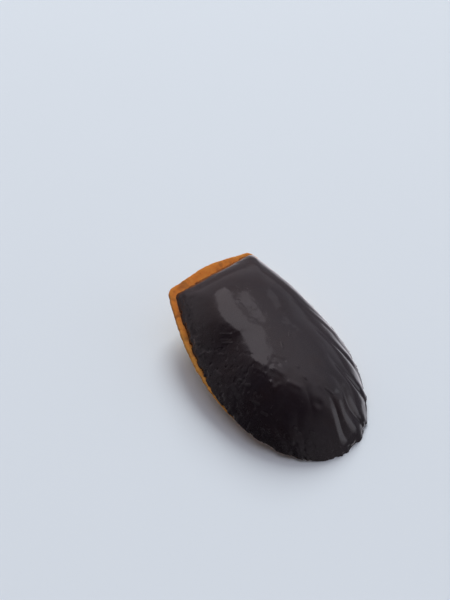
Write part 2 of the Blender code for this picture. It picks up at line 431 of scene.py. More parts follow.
def colour_property(name, description, default):
    """Colour that a user can set, with the given default."""
    return FloatVectorProperty(
        name=name, description=description, default=default, subtype="COLOR", min=0.0, max=1.0
    )


class ChocolateLook(PropertyGroup):
    """Finish of the chocolate."""

    body: colour_property("Body", "Colour of most of the chocolate", (0.0160, 0.0115, 0.0155))
    warm: colour_property("Warm", "Browner patches", (0.019, 0.0105, 0.0112))
    bloom: colour_property("Bloom", "Greyer, drier patches", (0.030, 0.025, 0.028))
    gloss_roughness: FloatProperty(
        name="Gloss", description="Roughness of the clean surface", default=0.09, min=0.0, max=1.0
    )
    scuff_roughness: FloatProperty(
        name="Scuffs", description="Roughness of the scuffs", default=0.52, min=0.0, max=1.0
    )


class SpongeLook(PropertyGroup):
    """Colours of the sponge."""

    pale: colour_property("Pale crumb", "Crown of the hump", (0.80, 0.56, 0.21))
    golden: colour_property("Golden crumb", "Between the hump and the rim", (0.66, 0.36, 0.095))
    rim: colour_property("Rim", "Browned rim", (0.54, 0.170, 0.027))
    golden_rim: colour_property("Golden rim", "Less browned stretches of the rim", (0.58, 0.270, 0.053))
    # Colour of the shade painted into the pores and the hollows of the wrinkles
    hollow_shade: colour_property("Hollow shade", "Darkest points of the rim", (0.16, 0.055, 0.020))
    roughness: FloatProperty(
        name="Roughness", description="Roughness of the crumb", default=0.72, min=0.0, max=1.0
    )


class StudioLook(PropertyGroup):
    """Table, lights and camera."""

    table: colour_property("Table", "Colour of the table", (0.665, 0.74, 0.80))
    backdrop: colour_property("Backdrop", "Colour behind the table", (0.665, 0.723, 0.791))
    walls: FloatProperty(
        name="Walls", description="Light of the walls behind the cake", default=0.50, min=0.0
    )
    ceiling: FloatProperty(
        name="Ceiling", description="Light that the ceiling adds", default=0.58, min=0.0
    )
    dark_side: FloatProperty(
        name="Dark side", description="Light of the room's dark half", default=0.035, min=0.0
    )
    doorway: FloatProperty(
        name="Doorway", description="Light that a doorway beyond the wide end adds", default=0.75, min=0.0
    )
    window: FloatProperty(
        name="Window", description="Light of the window over the narrow end", default=1.45, min=0.0
    )
    key: FloatProperty(
        name="Key", description="Strength of the lamp that casts the soft shadow", default=1.0, min=0.0
    )
    lens: FloatProperty(name="Lens", description="Focal length in millimetres", default=54.0, min=1.0)


# ---------------------------------------------------------------- form


def smoothstep(low, high, value):
    """0 below low, 1 above high, and a smooth rise between them."""
    t = np.clip((value - low) / (high - low), 0.0, 1.0)
    return t * t * (3.0 - 2.0 * t)


def soft_step(value):
    """About 0 below zero and about value above it, with a rounded turn as wide as WALL_SHOULDER."""
    return WALL_SHOULDER * np.log1p(np.exp(value / WALL_SHOULDER))


class CaseForm:
    """Forms of the case and the sponge, as rings by segments. rho is a column of shares of the way out."""

    def __init__(self, sizes):
        self.sizes = sizes
        even = np.linspace(0.0, 2 * math.pi, sizes.segments, endpoint=False)
        self.angle = even - WIDE_END_CROWDING * np.sin(even)
        self.cos, self.sin = np.cos(self.angle), np.sin(self.angle)
        self.outline = self.outline_radius()
        span = round(ROUNDING_SHARE * sizes.segments)
        near = [np.roll(self.outline, shift) for shift in range(-span, span + 1)]
        self.rounded = np.mean(near, axis=0)

    def half_width(self, x):
        """Distance from the x axis to the outline at x, with the corners of the narrow end rounded."""
        sizes = self.sizes
        half = sizes.width / 2 - FULLER_SIDE * np.sign(self.sin)
        widest = WIDEST_FROM_NARROW_END - sizes.length / 2
        to_wide = np.clip((x - widest) / (sizes.length / 2 - widest), 0.0, 1.0)
        to_narrow = np.clip((widest - x) / WIDEST_FROM_NARROW_END, 0.0, 1.0)
        bow = (half - sizes.narrow_edge / 2) * to_narrow**SIDE_BOW_POWER
        width = np.where(x > widest, half * np.sqrt(1.0 - to_wide**WIDE_END_POWER), half - bow)
        into_corner = np.clip(CORNER_RADIUS - (x + sizes.length / 2), 0.0, CORNER_RADIUS)
        return width - (CORNER_RADIUS - np.sqrt(CORNER_RADIUS**2 - into_corner**2))

    def outline_radius(self):
        """Distance from the crown's axis to the smooth outline at each segment."""
        inside = np.zeros_like(self.angle)
        outside = np.full_like(self.angle, self.sizes.length)
        for _ in range(HALVINGS):
            middle = (inside + outside) / 2
            x, y = CROWN_X + middle * self.cos, middle * self.sin
            within = (np.abs(y) < self.half_width(x)) & (np.abs(x) < self.sizes.length / 2)
            inside, outside = np.where(within, middle, inside), np.where(within, outside, middle)
        return inside

    def reach(self, rho, edge):
        """Distance from the crown's axis at shares rho of the way out. The inner rings are rounder."""
        return rho * (self.rounded + (edge - self.rounded) * rho**ROUNDING_POWER)

    def crown_share(self, rho):
        """Height at shares rho of the way out, as a share of the crown's height."""
        end_power = np.where(self.cos > 0, WIDE_POWER, NARROW_POWER)
        power = SIDE_POWER + (end_power - SIDE_POWER) * self.cos**2 * smoothstep(0.0, CROWN_SHARE, rho)
        from_edge = (1.0 - rho) * self.outline
        wall = 1.0 - soft_step(WALL_REACH - from_edge) / soft_step(WALL_REACH)
        return WALL_SHARE * wall + (1.0 - WALL_SHARE) * (1.0 - np.abs(rho) ** power)

    def flute_height(self, x, y, rho):
        """Height of the fluting over the smooth surface."""
        turn = (np.arctan2(y, x - FAN_X) - FAN_TURN) / FLUTE_PITCH
        swing = FLUTE_WAVE_SWING * np.sin(y / FLUTE_WAVE_Y)
        turn = turn + FLUTE_WAVE * np.sin(x / FLUTE_WAVE_X + swing)
        rib = np.sqrt(np.cos(math.pi * turn) ** 2 + FLUTE_SOFTNESS**2) - FLUTE_SOFTNESS - FLUTE_MIDDLE
        faint = FLUTE_FAINT * smoothstep(*FLUTE_FAINT_FROM, x)
        strength = faint + (1.0 - faint) * smoothstep(FLUTE_X_START, FLUTE_X_FULL, x)
        strength = strength * smoothstep(FLUTE_START, FLUTE_FULL, rho)
        crisp = smoothstep(FLUTE_SOFT_Y, FLUTE_CRISP_Y, y)
        return self.sizes.flutes * strength * (FLUTE_SOFT_SHARE + (1.0 - FLUTE_SOFT_SHARE) * crisp) * rib

    def skin(self, rho, inset=0.0):
        """Smooth surface of the case, or the like surface an inset inside it."""
        reach = self.reach(rho, self.outline) - inset * rho
        height = (self.sizes.crown - inset) * self.crown_share(rho)
        return np.stack([CROWN_X + reach * self.cos, reach * self.sin, height], axis=-1)

    def fluted(self, rho):
        """Outer surface of the case with its flutes."""
        run = self.outline * SLOPE_STEP
        fall = self.sizes.crown * (self.crown_share(rho - SLOPE_STEP) - self.crown_share(rho))
        rise = run * np.clip((1.0 - rho) / EDGE_TURN, 0.0, 1.0)
        outward = np.stack([fall * self.cos, fall * self.sin, rise], axis=-1)
        outward /= np.linalg.norm(outward, axis=-1, keepdims=True)
        points = self.skin(rho)
        height = self.flute_height(points[..., 0], points[..., 1], rho)
        return points + outward * height[..., None]

    def at_edge(self, inward, height):
        """Rings round the case's edge, moved inward from it, at the given heights."""
        edge = self.fluted(np.ones((1, 1)))[0]
        x = edge[:, 0] - inward * self.cos
        y = edge[:, 1] - inward * self.sin
        return np.stack([x, y, height + 0.0 * x], axis=-1)

    def lip_share(self):
        """How strongly the lip stands out at each segment, from 0 to 1."""
        edge_x = self.fluted(np.ones((1, 1)))[0, :, 0]
        along = (LIP_END_X - edge_x) / (LIP_END_X + self.sizes.length / 2)
        return smoothstep(*LIP_RISE, self.angle) * np.clip(along, 0.0, 1.0)

    def lip_drop(self):
        """How far the lip hangs down at each segment."""
        return LIP_LEAST_DROP + LIP_MORE_DROP * self.lip_share()

    def lip_reach(self):
        """How far the lip stands out from the case's edge at each segment."""
        bow = LIP_BOW * np.clip(-self.cos, 0.0, 1.0) ** LIP_BOW_POWER
        return LIP_LEAST_OVERHANG + self.sizes.lip * self.lip_share() + bow

    def baked(self, rho):
        """Baked side of the sponge, with the hump in its middle."""
        rim = self.at_edge(LIP_ROUND - self.lip_reach(), 0.0)
        reach = self.reach(rho, np.hypot(rim[:, 0] - CROWN_X, rim[:, 1]))
        x, y = CROWN_X + reach * self.cos, reach * self.sin
        out = np.hypot((x - HUMP_X) / HUMP_HALF_LENGTH, (y - HUMP_Y) / HUMP_HALF_WIDTH)
        hump = np.clip(1.0 - out**HUMP_POWER, 0.0, 1.0) ** HUMP_FOOT_POWER
        drop = LIP_MIDDLE_DROP + (self.lip_drop() - LIP_MIDDLE_DROP) * rho**2
        return np.stack([x, y, -drop - self.sizes.hump * hump], axis=-1), hump


# ---------------------------------------------------------------- relief


def lumps(points, size, seed, octaves):
    """Smooth random heights, mostly between -1 and 1, in lumps of about the given size."""
    offset = Vector([seed * step for step in SEED_STEP])
    flat = (points / size).reshape(-1, 3).tolist()
    heights = [noise.fractal(Vector(place) + offset, LUMP_FADE, LUMP_RATIO, octaves) for place in flat]
    return np.array(heights).reshape(points.shape[:-1])


def stroke_heights(points, strokes):
    """Height of a set of strokes, each with a rounded section and faded ends, at points of a surface."""
    x, y = points[..., 0] / MM, points[..., 1] / MM
    total = np.zeros_like(x)
    for x0, y0, x1, y1, half_width, height in strokes:
        along_x, along_y = x1 - x0, y1 - y0
        length_2 = along_x**2 + along_y**2
        share = np.clip(((x - x0) * along_x + (y - y0) * along_y) / length_2, 0.0, 1.0)
        away = np.hypot(x - x0 - share * along_x, y - y0 - share * along_y)
        total += height * np.exp(-((away / half_width) ** 2))
    return total * MM


def dimple_heights(points, dimples):
    """Height of round dimples, each x, y, radius and height in millimetres."""
    x, y = points[..., 0] / MM, points[..., 1] / MM
    total = np.zeros_like(x)
    for x0, y0, radius, height in dimples:
        total += height * np.exp(-(np.hypot(x - x0, y - y0) / radius) ** 2)
    return total * MM


def loose_scuffs():
    """Short marks scattered over the side that was rubbed against its neighbours."""
    draw = np.random.default_rng(SCUFF_SEED)
    centre_x, centre_y = RUBBED_CENTRE
    spread_x, spread_y = LOOSE_SPREAD
    for _ in range(LOOSE_SCUFFS):
        x = centre_x + spread_x * draw.normal()
        y = centre_y + spread_y * abs(draw.normal())
        turn, length = draw.uniform(0.0, math.pi), draw.uniform(*LOOSE_LENGTH)
        step_x, step_y = length * math.cos(turn), length * math.sin(turn)
        height = draw.choice((-1.0, 1.0)) * draw.uniform(*LOOSE_HEIGHT)
        yield x, y, x + step_x, y + step_y, draw.uniform(*LOOSE_HALF_WIDTH), height


def rubbed_share(points):
    """How rubbed the case is at points of its surface: 1 in the middle of the rubbed patch."""
    x, y = points[..., 0] / MM, points[..., 1] / MM
    away_x = (x - RUBBED_CENTRE[0]) / RUBBED_SPREAD[0]
    away_y = (y - RUBBED_CENTRE[1]) / RUBBED_SPREAD[1]
    return np.exp(-(away_x**2) - away_y**2)


def normals_of(points):
    """Outward normal at each point of a grid of rings that runs from the upper pole to the lower one."""
    around = np.roll(points, -1, axis=1) - np.roll(points, 1, axis=1)
    outward = np.gradient(points, axis=0)
    normals = np.cross(outward, around)
    return normals / np.maximum(np.linalg.norm(normals, axis=-1, keepdims=True), SHORTEST_NORMAL)


# ---------------------------------------------------------------- meshes


def turned(points, sizes):
    """Points with the narrow end set askew, and turned about +Y by the tilt."""
    x, y, z = points[..., 0], points[..., 1], points[..., 2]
    x = x - NARROW_SLANT * y * np.clip((CROWN_X - x) / (CROWN_X + sizes.length / 2), 0.0, 1.0) ** 2
    c, s = math.cos(sizes.tilt), math.sin(sizes.tilt)
    return np.stack([x * c + z * s, y, z * c - x * s], axis=-1)


def lie_down(points, form):
    """Points of the rim frame brought to the plain solids' place, over the table and inside their box."""
    gauge = form.fluted(np.linspace(GAUGE_FIRST, 1.0, GAUGE_RINGS)[:, None])
    skin = turned(gauge, form.sizes).reshape(-1, 3)
    low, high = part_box("chocolate_shell")
    middle = (np.array(low) + np.array(high)) / 2
    shift = middle - (skin.min(axis=0) + skin.max(axis=0)) / 2
    shift[2] = high.z - skin[:, 2].max()
    placed = turned(points, form.sizes) + shift
    low, high = np.array(CAD_LOW), np.array(CAD_HIGH)
    span = np.abs(placed).reshape(-1, 3).max(axis=0)
    fit = np.minimum(1.0, np.maximum(np.abs(low), np.abs(high)) / span)
    fit[2] = min(1.0, high[2] / placed[..., 2].max())
    placed = placed * fit
    placed[..., 2] = np.maximum(placed[..., 2], low[2])
    return placed


def add_piece(name, rings, first_pole, last_pole, layers, material):
    """Closed mesh through a grid of rings, with a pole at both ends and layers for the material."""
    count, around = rings.shape[:2]
    points = np.concatenate([rings.reshape(-1, 3), [first_pole, last_pole]])
    first, last = count * around, count * around + 1
    here = np.arange(count - 1)[:, None] * around + np.arange(around)
    beside = np.arange(count - 1)[:, None] * around + (np.arange(around) + 1) % around
    quads = np.stack([here, here + around, beside + around, beside], axis=-1).reshape(-1, 4)
    faces = quads.tolist()
    for k in range(around):
        following = (k + 1) % around
        faces.append((first, k, following))
        faces.append((last, last - 1 - around + following, last - 1 - around + k))
    mesh = bpy.data.meshes.new(name)
    mesh.from_pydata(points.tolist(), [], faces)
    mesh.validate()
    for layer, values in layers.items():
        ends = [values[0].mean(), values[-1].mean()]
        attribute = mesh.attributes.new(layer, "FLOAT", "POINT")
        attribute.data.foreach_set("value", np.concatenate([values.ravel(), ends]).astype(np.float32))
    mesh.shade_smooth()
    mesh.materials.append(material)
    piece = bpy.data.objects.new(name, mesh)
    bpy.context.scene.collection.objects.link(piece)
    return piece


def make_piece(name, rings, layers, form, material):
    """Lays the rings down and closes them into a mesh, each pole in the middle of its ring."""
    poles = rings[0].mean(axis=0), rings[-1].mean(axis=0)
    placed = lie_down(np.concatenate([rings.reshape(-1, 3), poles]), form)
    return add_piece(name, placed[:-2].reshape(rings.shape), placed[-2], placed[-1], layers, material)


def stand_for(piece, node):
    """The piece rides on the cake and stands for its plain solid."""
    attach(piece, "root")
    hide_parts(node)


def spread(count, crowding):
    """A column of shares from near 0 to 1, closer together towards 1."""
    even = np.arange(1, count + 1) / count
    return (1.0 - (1.0 - even) ** crowding)[:, None]


def nest_shares():
    """Shares of the way out for the rings of the nest, which the case and the sponge both have."""
    return np.linspace(NEST_FIRST, 1.0, NEST_RINGS)[:, None]


def edge_rings(form, chips, skirt):
    """Rings round the case's chipped edge: a rounded turn, and two more on the way to the nest."""
    edge = []
    for turn in np.linspace(0.0, math.pi / 2, EDGE_STEPS):
        inward = chips + EDGE_ROUND * (1.0 - math.cos(turn))
        edge.append(form.at_edge(inward, EDGE_ROUND * (1.0 - math.sin(turn)) - skirt))
    edge.append(form.at_edge(chips + 2 * EDGE_ROUND, -skirt))
    edge.append(form.at_edge(chips + 3 * EDGE_ROUND, -0.5 * skirt))
    return np.stack(edge)


def case_rings(form):
    """Rings of the chocolate case and the values that its material uses."""
    rho = spread(CASE_RINGS, CASE_CROWDING)
    skin = form.fluted(rho)
    ragged = lumps(form.at_edge(0.0, 0.0), *RAGGED_LUMPS)
    chips = CHIP_DEPTH * smoothstep(*CHIP_FROM, ragged)
    reach = CHIP_REACH_MIDDLE + CHIP_REACH_SWING * lumps(skin, *CHIP_LUMPS)
    reach = CHIP_REACH * np.clip(reach, *CHIP_REACH_ENDS)
    shift = chips * (1.0 - smoothstep(0.0, reach, (1.0 - rho) * form.outline))
    skin[..., 0] -= shift * form.cos
    skin[..., 1] -= shift * form.sin
    edge = edge_rings(form, chips, SKIRT + RAGGED_SKIRT * ragged)
    nest = form.skin(nest_shares()[::-1], CHOCOLATE)
    rings = np.concatenate([skin, edge, nest])

    share = np.concatenate([rho[:, 0], np.ones(len(rings) - len(rho))])[:, None]
    shown = np.zeros(len(rings))
    shown[: CASE_RINGS + EDGE_STEPS] = 1.0
    scuffs = stroke_heights(rings, list(SCUFFS) + list(loose_scuffs()))
    near_edge = smoothstep(*EDGE_ZONE, share)
    worn = np.clip(rubbed_share(rings) + near_edge * smoothstep(*WORN_Y, rings[..., 1]), 0.0, 1.0)
    height = WIDE_HEIGHT * lumps(rings, *WIDE_LUMPS)
    height += RIPPLE_HEIGHT * lumps(rings, *RIPPLE_LUMPS)
    height += WORN_HEIGHT * worn * lumps(rings, *WORN_LUMPS)
    height += EDGE_HEIGHT * near_edge * lumps(rings, *EDGE_LUMPS)
    height -= PIT_DEPTH * worn * smoothstep(*PIT_FROM, lumps(rings, *PIT_LUMPS))
    height += stroke_heights(rings, MOULD_STROKES) + dimple_heights(rings, DIMPLES) + scuffs
    rings = rings + normals_of(rings) * (height * shown[:, None])[..., None]
    layers = {
        "scuffed": np.clip(np.abs(scuffs) / FULL_SCUFF, 0.0, 1.0),
        "rubbed": worn,
        "along": rings[..., 0] / form.sizes.length,
    }
    return rings, layers


def pore_marks(draw):
    """Pores of the baked side: x, y, radius and height in millimetres."""
    half_length, half_width = PORE_FIELD
    for _ in range(PORES):
        x, y = draw.uniform(-half_length, half_length), draw.uniform(-half_width, half_width)
        radius = PORE_RADIUS + PORE_MORE_RADIUS * draw.random() ** PORE_RARITY
        yield x, y, radius, -draw.uniform(*PORE_DEPTH)


def lip_rings(form):
    """Rings of the sponge's lip: its upper side, and the rounded bead at its end."""
    drop, reach = form.lip_drop(), form.lip_reach()
    lip = []
    for share in LIP_STEPS:
        lip.append(form.at_edge(SPONGE_INSET - share * (SPONGE_INSET + reach - LIP_ROUND), 0.0))
    for turn in np.linspace(math.pi / 2, -math.pi / 2, BEAD_STEPS):
        out = LIP_ROUND * (1.0 - math.cos(turn)) - reach
        lip.append(form.at_edge(out, -drop * (1.0 - math.sin(turn)) / 2))
    return np.stack(lip)


def sponge_rings(form):
    """Rings of the sponge and the values that its material uses."""
    top = form.skin(nest_shares(), SPONGE_INSET)
    lip = lip_rings(form)
    rho = 1.0 - spread(BAKED_RINGS, 1.0) * BAKED_SPAN
    baked, hump = form.baked(rho)
    rings = np.concatenate([top, lip, baked])

    under = np.zeros(len(rings))
    under[-BAKED_RINGS:] = 1.0
    under = under[:, None]
    tip = len(top) + len(LIP_STEPS) + BEAD_STEPS // 2
    from_rim = np.linalg.norm(rings - rings[tip], axis=-1) / MM
    from_rim[:tip] *= -1.0
    hump = np.concatenate([np.zeros((len(top) + len(lip), rings.shape[1])), hump])
    # The nest stays smooth, and the first ring of the lip is half as rough as the rest
    shown = np.zeros(len(rings))
    shown[len(top) :] = 1.0
    shown[len(top)] = 0.5
    rim_share = np.exp(-((from_rim / RIM_BREADTH) ** 2))
    pores = dimple_heights(rings, pore_marks(np.random.default_rng(PORE_SEED)))
    pores = pores * under * smoothstep(*PORES_FROM_RIM, from_rim)
    wrinkles = lumps(rings, *WRINKLE_LUMPS)
    height = WRINKLE_HEIGHT * rim_share * wrinkles
    height += BAKED_HEIGHT * under * lumps(rings, *BAKED_LUMPS) * (1.0 - rim_share)
    height += CRUMB_HEIGHT * lumps(rings, *CRUMB_LUMPS) + pores
    rings = rings + normals_of(rings) * (height * shown[:, None])[..., None]
    layers = {
        "from_rim": from_rim,
        "hump": hump,
        "wrinkle": wrinkles,
        "along": rings[..., 0] / form.sizes.length,
        "pore": np.clip(-pores / FULL_PORE, 0.0, 1.0),
    }
    return rings, layers


# ---------------------------------------------------------------- shader maths


class Wire:
    """An output socket. Arithmetic on it adds Math nodes to its material."""

    def __init__(self, paint, socket):
        self.paint, self.socket = paint, socket

    def __add__(self, other):
        return self.paint.maths("ADD", self, other)

    def __sub__(self, other):
        return self.paint.maths("SUBTRACT", self, other)

    def __rsub__(self, other):
        return self.paint.maths("SUBTRACT", other, self)

    def __mul__(self, other):
        return self.paint.maths("MULTIPLY", self, other)

    __radd__ = __add__
    __rmul__ = __mul__


class Paint:
    """A node tree with short ways to add to it."""

    def __init__(self, tree):
        self.tree = tree
        self.tree.nodes.clear()

    def add(self, kind, settings=None, sockets=None, out=0):
        """Adds a node, sets its settings first and then its sockets, and returns one of its outputs."""
        node = self.tree.nodes.new(kind)
        for name, value in (settings or {}).items():
            setattr(node, name, value)
        for name, value in (sockets or {}).items():
            if isinstance(value, Wire):
                self.tree.links.new(value.socket, node.inputs[name])
            else:
                node.inputs[name].default_value = value
        return Wire(self, node.outputs[out]) if len(node.outputs) else node

    def maths(self, operation, first, second):
        """Sum, difference or product of two numbers or sockets."""
        return self.add("ShaderNodeMath", {"operation": operation}, {0: first, 1: second})

    def layer(self, name):
        """Value kept on the mesh."""
        return self.add("ShaderNodeAttribute", {"attribute_name": name}, out="Fac")

    def place(self):
        """Place on the object, in metres."""
        return self.add("ShaderNodeTexCoord", out="Object")

    def grain(self, size, detail, roughness):
        """Noise from 0 to 1 with lumps of about the given size in metres."""
        return self.add(
            "ShaderNodeTexNoise",
            {"normalize": True},
            {"Vector": self.place(), "Scale": 1.0 / size, "Detail": detail, "Roughness": roughness},
            out="Fac",
        )

    def cells(self, size):
        """Distance to the nearest of scattered points, as a share of their spacing."""
        return self.add(
            "ShaderNodeTexVoronoi",
            {"feature": "F1"},
            {"Vector": self.place(), "Scale": 1.0 / size},
            out="Distance",
        )

    def step(self, value, low, high):
        """0 where value is under low, 1 where it is over high, with a smooth rise."""
        return self.add(
            "ShaderNodeMapRange",
            {"interpolation_type": "SMOOTHSTEP"},
            {"Value": value, "From Min": low, "From Max": high},
        )

    def mix(self, share, first, second, blend="MIX"):
        """Mix of two colours, or the first one blended with the second in another way."""
        first, second = (
            value if isinstance(value, Wire) else (*value, 1.0) for value in (first, second)
        )
        return self.add(
            "ShaderNodeMix",
            {"data_type": "RGBA", "blend_type": blend},
            {0: share, 6: first, 7: second},
            out=2,
        )

    def bump(self, height, distance):
        """Normal of a surface whose height from 0 to 1 is the given distance in metres."""
        return self.add("ShaderNodeBump", None, {"Height": height, "Distance": distance})

    def finish(self, **sockets):
        """Ends a material with a Principled shader. Underscores stand for spaces in socket names."""
        named = {name.replace("_", " "): value for name, value in sockets.items()}
        shader = self.add("ShaderNodeBsdfPrincipled", None, named)
        self.add("ShaderNodeOutputMaterial", None, {"Surface": shader})


def new_paint(name):
    """A material and the paint that fills it."""
    material = bpy.data.materials.new(name)
    material.use_nodes = True
    return material, Paint(material.node_tree)


def chocolate_material(look):
    """Tempered dark chocolate, with browner and drier patches, scuffs and a fine grain."""
    material, paint = new_paint("dark_chocolate")
    scuffed, rubbed = paint.layer("scuffed"), paint.layer("rubbed")
    cloudy, fine = paint.grain(*CLOUDS), paint.grain(*FINE_GRAIN)
    dry = paint.step(paint.grain(*DRY_PATCHES), *DRY_FROM)
    specks = paint.step(paint.grain(*SPECKS), *SPECKS_FROM) * paint.step(cloudy, *SPECKS_IN_CLOUDS)
    to_narrow = paint.step(paint.layer("along") * -1.0, *NARROW_END_FROM)
    browner = BROWN_IN_CLOUDS * paint.step(cloudy, *BROWN_CLOUDS_FROM) + BROWN_AT_NARROW_END * to_narrow
    greyer = GREY_IN_SCUFFS * scuffed * paint.step(fine, *SCUFF_GRAIN_FROM)
    colour = paint.mix(browner, look.body, look.warm)
    colour = paint.mix(dry * (DRY_ANYWHERE + DRY_WHERE_RUBBED * rubbed), colour, look.bloom)
    colour = paint.mix(greyer, colour, look.bloom)
    colour = paint.mix(specks * (SPECKS_ANYWHERE + SPECKS_WHERE_RUBBED * rubbed), colour, look.bloom)
    roughness = (
        look.gloss_roughness
        + ROUGHER_IN_CLOUDS * paint.step(cloudy, *ROUGH_CLOUDS_FROM)
        + ROUGHER_WHERE_DRY * dry
        + ROUGHER_WHERE_RUBBED * rubbed
        + ROUGHER_IN_SPECKS * specks
        + (look.scuff_roughness - look.gloss_roughness) * scuffed
    )
    height = FINE_HEIGHT * fine + FINEST_HEIGHT * paint.grain(*FINEST_GRAIN)
    paint.finish(
        Base_Color=colour,
        Roughness=roughness,
        IOR=CHOCOLATE_IOR,
        Normal=paint.bump(height, CHOCOLATE_BUMP),
    )
    return material


def rim_colour(paint, look, from_rim):
    """Browned rim, more golden in streaks, and on its upper side by the tip and along the cake's side."""
    along_side = paint.step(paint.layer("along"), *SIDE_FROM)
    by_tip = paint.step(from_rim, *BY_TIP)
    upper_side = paint.step(from_rim * -1.0, *UPPER_SIDE)
    streaks = paint.step(paint.grain(*STREAKS), *STREAKS_FROM)
    golden = upper_side * (GOLD_ALONG_SIDE * along_side + GOLD_BY_TIP * by_tip)
    return paint.mix(golden + GOLD_IN_STREAKS * streaks, look.rim, look.golden_rim)


def sponge_material(look):
    """Baked sponge: pale on the hump, golden round it and browned at the rim, with pores and crumb. Shade is
    painted into its pores and into the hollows of the rim's wrinkles.
    """
    material, paint = new_paint("sponge_crust")
    from_rim, hump = paint.layer("from_rim"), paint.layer("hump")
    wrinkle, pore = paint.layer("wrinkle"), paint.layer("pore")
    mottle, crumb, broad = paint.grain(*MOTTLE), paint.grain(*CRUMB), paint.grain(*BROAD_PATCHES)
    wavering = PALE_WAVER * (mottle - 0.5) + PALE_BROAD_WAVER * (broad - 0.5)
    pale = paint.step(hump + wavering, *PALE_FROM)
    browned = 1.0 - paint.step(from_rim + BROWN_WAVER * (mottle - 0.5), *BROWN_ZONE)
    patches = paint.step(paint.grain(*BROWN_PATCHES), *PATCHES_FROM) * paint.step(hump, *PATCHES_ON_HUMP)
    # Painted shade: a dark colour in the hollows of the rim's wrinkles, in the small pores and in the pores
    wrinkle_hollows = paint.step(wrinkle * -1.0, *WRINKLES_FROM) * browned
    small_pores = 1.0 - paint.step(paint.cells(SMALL_PORE_SPACING), *SMALL_PORE_EDGE)
    small_pore_shade = SHADE_IN_SMALL_PORES * small_pores * paint.step(mottle, *SMALL_PORES_IN_MOTTLE)
    colour = paint.mix(pale, look.golden, look.pale)
    colour = paint.mix(browned, colour, rim_colour(paint, look, from_rim))
    colour = paint.mix(BROWN_IN_PATCHES * patches * (1.0 - LESS_WHERE_PALE * pale), colour, look.rim)
    colour = paint.mix(SHADE_IN_WRINKLES * wrinkle_hollows, colour, look.hollow_shade)
    colour = paint.mix(small_pore_shade, colour, look.hollow_shade)
    colour = paint.mix(SHADE_IN_PORES * pore, colour, look.hollow_shade)
    colour = paint.mix(1.0, colour, paint.mix(crumb, *CRUMB_TINTS), "MULTIPLY")
    height = crumb + FINEST_CRUMB_HEIGHT * paint.grain(*FINEST_CRUMB)
    height = height - SMALL_PORE_HEIGHT * small_pores - PORE_HEIGHT * pore
    paint.finish(
        Base_Color=colour,
        Roughness=look.roughness + ROUGHER_IN_CRUMB * (crumb - 0.5),
        IOR=SPONGE_IOR,
        Normal=paint.bump(height, SPONGE_BUMP),
    )
    return material


def table_material(look):
    """Matt pale table, with a faint unevenness."""
    material, paint = new_paint("pale_table")
    darker = [TABLE_DARKER * value for value in look.table]
    paint.finish(
        Base_Color=paint.mix(paint.grain(*TABLE_CLOUDS), darker, look.table),
        Roughness=TABLE_ROUGHNESS,
        Specular_IOR_Level=0.0,
        Normal=paint.bump(paint.grain(*TABLE_GRAIN), TABLE_BUMP),
    )
    return material


def backdrop_material(look):
    """Wall behind the table, as bright as the table's far side."""
    material, paint = new_paint("pale_backdrop")
    darker = [BACKDROP_DARKER * value for value in look.backdrop]
    colour = paint.mix(paint.grain(*BACKDROP_CLOUDS), darker, look.backdrop)
    shader = paint.add("ShaderNodeEmission", None, {"Color": colour, "Strength": 1.0})
    paint.add("ShaderNodeOutputMaterial", None, {"Surface": shader})
    return material


# ---------------------------------------------------------------- operators


class MADELEINE_OT_case(Operator):
    """Make the fluted chocolate case"""

    bl_idname = "madeleine.case"
    bl_label = "Chocolate case"

    def execute(self, context):
        form = CaseForm(context.scene.madeleine_form)
        material = chocolate_material(context.scene.madeleine_chocolate)
        piece = make_piece("chocolate_case", *case_rings(form), form, material)
        stand_for(piece, "chocolate_shell")
        return {"FINISHED"}


class MADELEINE_OT_sponge(Operator):
    """Make the baked sponge with its lip and hump"""

    bl_idname = "madeleine.sponge"
    bl_label = "Baked sponge"

    def execute(self, context):
        form = CaseForm(context.scene.madeleine_form)
        material = sponge_material(context.scene.madeleine_sponge)
        piece = make_piece("baked_sponge", *sponge_rings(form), form, material)
        stand_for(piece, "sponge")
        return {"FINISHED"}


def room_light(paint, look):
    """Tint and level of the light from each direction: a lit half, a dark half, a doorway and a window."""
    direction = paint.add("ShaderNodeTexCoord", out="Generated")

    def facing(axis):
        """How far each direction points along an axis."""
        return paint.add(
            "ShaderNodeVectorMath", {"operation": "DOT_PRODUCT"}, {0: direction, 1: axis}, out="Value"
        )

    def within(value, ends):
        """1 between the two ends, with a soft border."""
        low, high = ends
        return paint.step(value, low, low + PANE_BORDER) * (1.0 - paint.step(value, high, high + PANE_BORDER))

    x, y, z = facing((1.0, 0.0, 0.0)), facing((0.0, 1.0, 0.0)), facing((0.0, 0.0, 1.0))

    def pane(ends):
        """1 inside a pane with the given ends along x and y."""
        return within(x, ends[0]) * within(y, ends[1])

    raised = paint.step(z, *WALL_FROM)
    wall = look.walls * (WALL_FOOT + (1.0 - WALL_FOOT) * raised)
    wall = wall + look.ceiling * paint.step(z, *CEILING_FROM)
    wall = wall + FAR_WALL * paint.step(y, *FAR_FROM) * raised
    wall = wall + LOW_LIGHT * paint.step(z * -1.0, *LOW_FROM)
    dark = look.dark_side + WIDE_LIGHT * paint.step(x, *WIDE_FROM)
    for light, start, full in NARROW_LIGHTS:
        dark = dark + light * paint.step(x * -1.0, start, full)
    level = dark + (wall - dark) * paint.step(facing(BRIGHT_HALF), *BRIGHT_FROM)
    level = level + look.doorway * paint.step(facing(DOORWAY), *DOORWAY_FROM)
    above = paint.step(z, *PANES_ABOVE)
    level = level + CORNICE_LIGHT * pane(CORNICE) * above
    slant = paint.step(facing(PANE_SLANT), PANE_SLANT_FROM, PANE_SLANT_FROM + PANE_BORDER)
    window = (pane(WIDE_PANE) * slant + pane(SLIM_PANE)) * above
    level = level + (look.window - level) * window
    tint = paint.mix(paint.step(y, *TINT_FROM), *ROOM_TINTS)
    return tint, level


